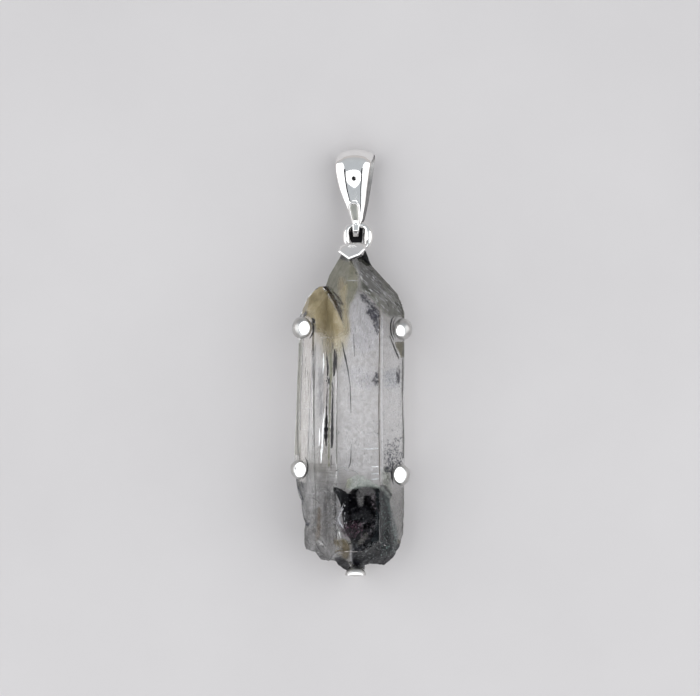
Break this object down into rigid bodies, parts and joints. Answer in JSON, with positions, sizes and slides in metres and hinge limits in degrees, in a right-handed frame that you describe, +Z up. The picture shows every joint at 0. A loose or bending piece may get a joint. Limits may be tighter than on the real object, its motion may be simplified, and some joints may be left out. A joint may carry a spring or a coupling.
{
  "type": "quartz crystal pendant",
  "caption": "Raw clear quartz prism with dark inclusions and a smaller parallel crystal, held by ball-ended claws in an open silver frame, with a tapered hinged bail.",
  "frame": {"origin": "middle of the overall box in plan, on the surface that the pendant lies on", "axes": "+Z up, away from the surface, through the front of the crystal; +Y along the crystal from its broken base to the bail; +X to the right seen from the front"},
  "size_m": [0.0146, 0.0516, 0.0108],
  "materials": {
    "quartz": "clear, natural faces",
    "silver": "polished",
    "silver_wire": "satin",
    "silver_bail": "high polish"
  },
  "bodies": {
    "setting": {"quartz_crystal": "quartz", "back_frame": "silver_wire", "claw_upper_left": "silver", "claw_upper_right": "silver", "claw_lower_left": "silver", "claw_lower_right": "silver", "claw_bottom": "silver", "tip_plate": "silver", "ring": "silver"},
    "bail": {"bail": "silver_bail"}
  },
  "joints": [
    {"name": "bail_swing", "type": "hinge", "parent": "setting", "child": "bail", "pos_m": [0.00085, 0.01664, 0.0036], "axis": [1, 0, 0], "range_deg": [0, 80]}
  ]
}
